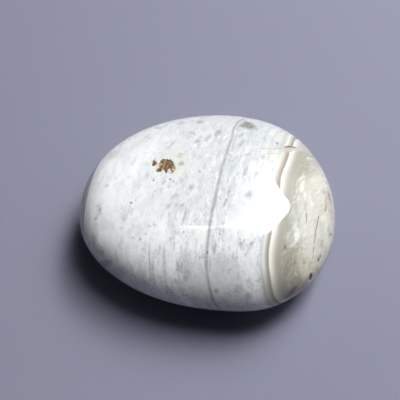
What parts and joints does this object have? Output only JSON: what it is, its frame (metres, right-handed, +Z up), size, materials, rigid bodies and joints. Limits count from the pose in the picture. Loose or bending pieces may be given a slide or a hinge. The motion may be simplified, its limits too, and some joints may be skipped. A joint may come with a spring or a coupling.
{
  "type": "polished ocean jasper pebble",
  "caption": "Hand-polished ocean jasper palm stone: a flattened egg of banded white stone with a small druzy pocket, fine open cracks and a flat worn foot.",
  "frame": {"origin": "on the table, under the middle of the stone's box", "axes": "+X along the stone's long axis, towards its broad end; +Z up, away from the flat foot"},
  "size_m": [0.06, 0.0502, 0.0253],
  "materials": {
    "polished_jasper": "polished"
  },
  "bodies": {
    "root": {"stone": "polished_jasper"}
  },
  "joints": []
}
